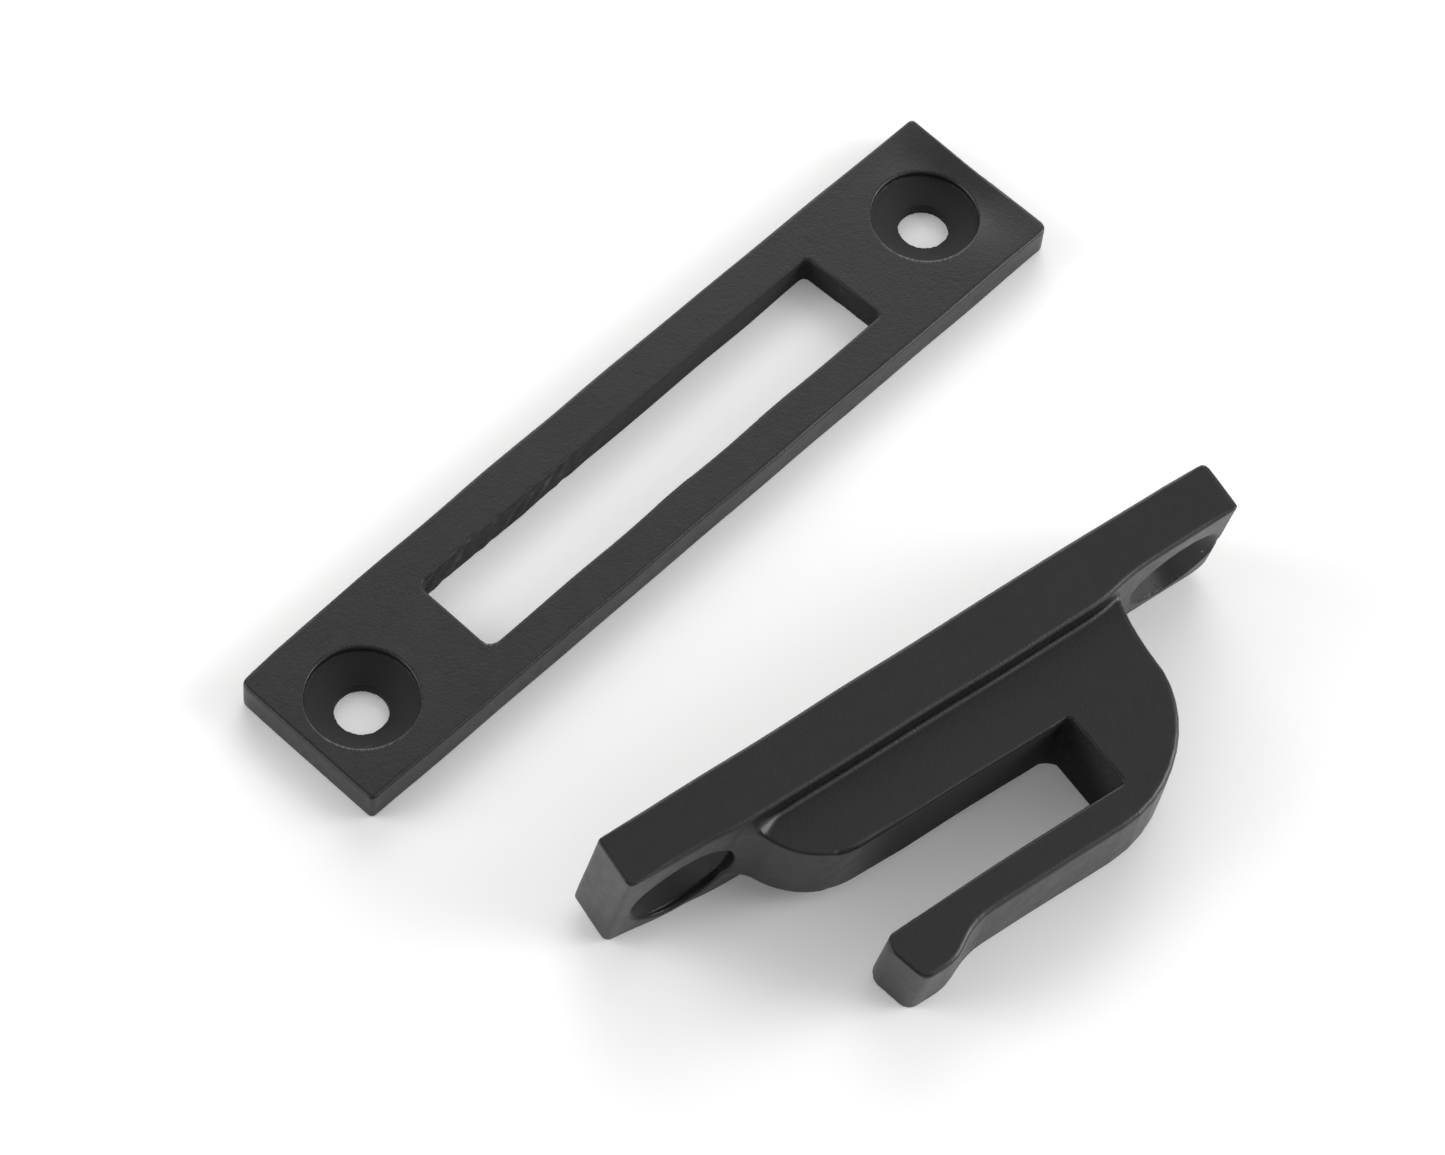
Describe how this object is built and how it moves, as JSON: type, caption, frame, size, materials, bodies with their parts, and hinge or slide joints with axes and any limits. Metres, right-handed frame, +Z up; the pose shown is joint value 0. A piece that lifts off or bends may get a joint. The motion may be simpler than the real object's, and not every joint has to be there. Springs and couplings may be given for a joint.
{
  "type": "casement fastener keeper set",
  "caption": "Slotted mortice plate and screw-on hook plate, black castings with countersunk holes, that catch the tongue of a casement fastener.",
  "frame": {"origin": "middle of the set's footprint, on the surface that both pieces lie on", "axes": "+Z up from that surface, +X along the hook plate's bar towards its heel end, +Y from the hook plate to the mortice plate; the hook points to -Y"},
  "size_m": [0.074, 0.0626, 0.0126],
  "materials": {
    "black_powder_coat": "satin black powder coat over a casting, with a very fine tooth and slightly thin edges"
  },
  "bodies": {
    "mortice_plate": {"mortice_plate": "black_powder_coat"},
    "hook_plate": {"hook_plate": "black_powder_coat"}
  },
  "joints": [
    {"name": "hook_plate_lift", "type": "slide", "parent": "mortice_plate", "child": "hook_plate", "axis": [0, 0, 1], "range_m": [0, 0.03]}
  ]
}
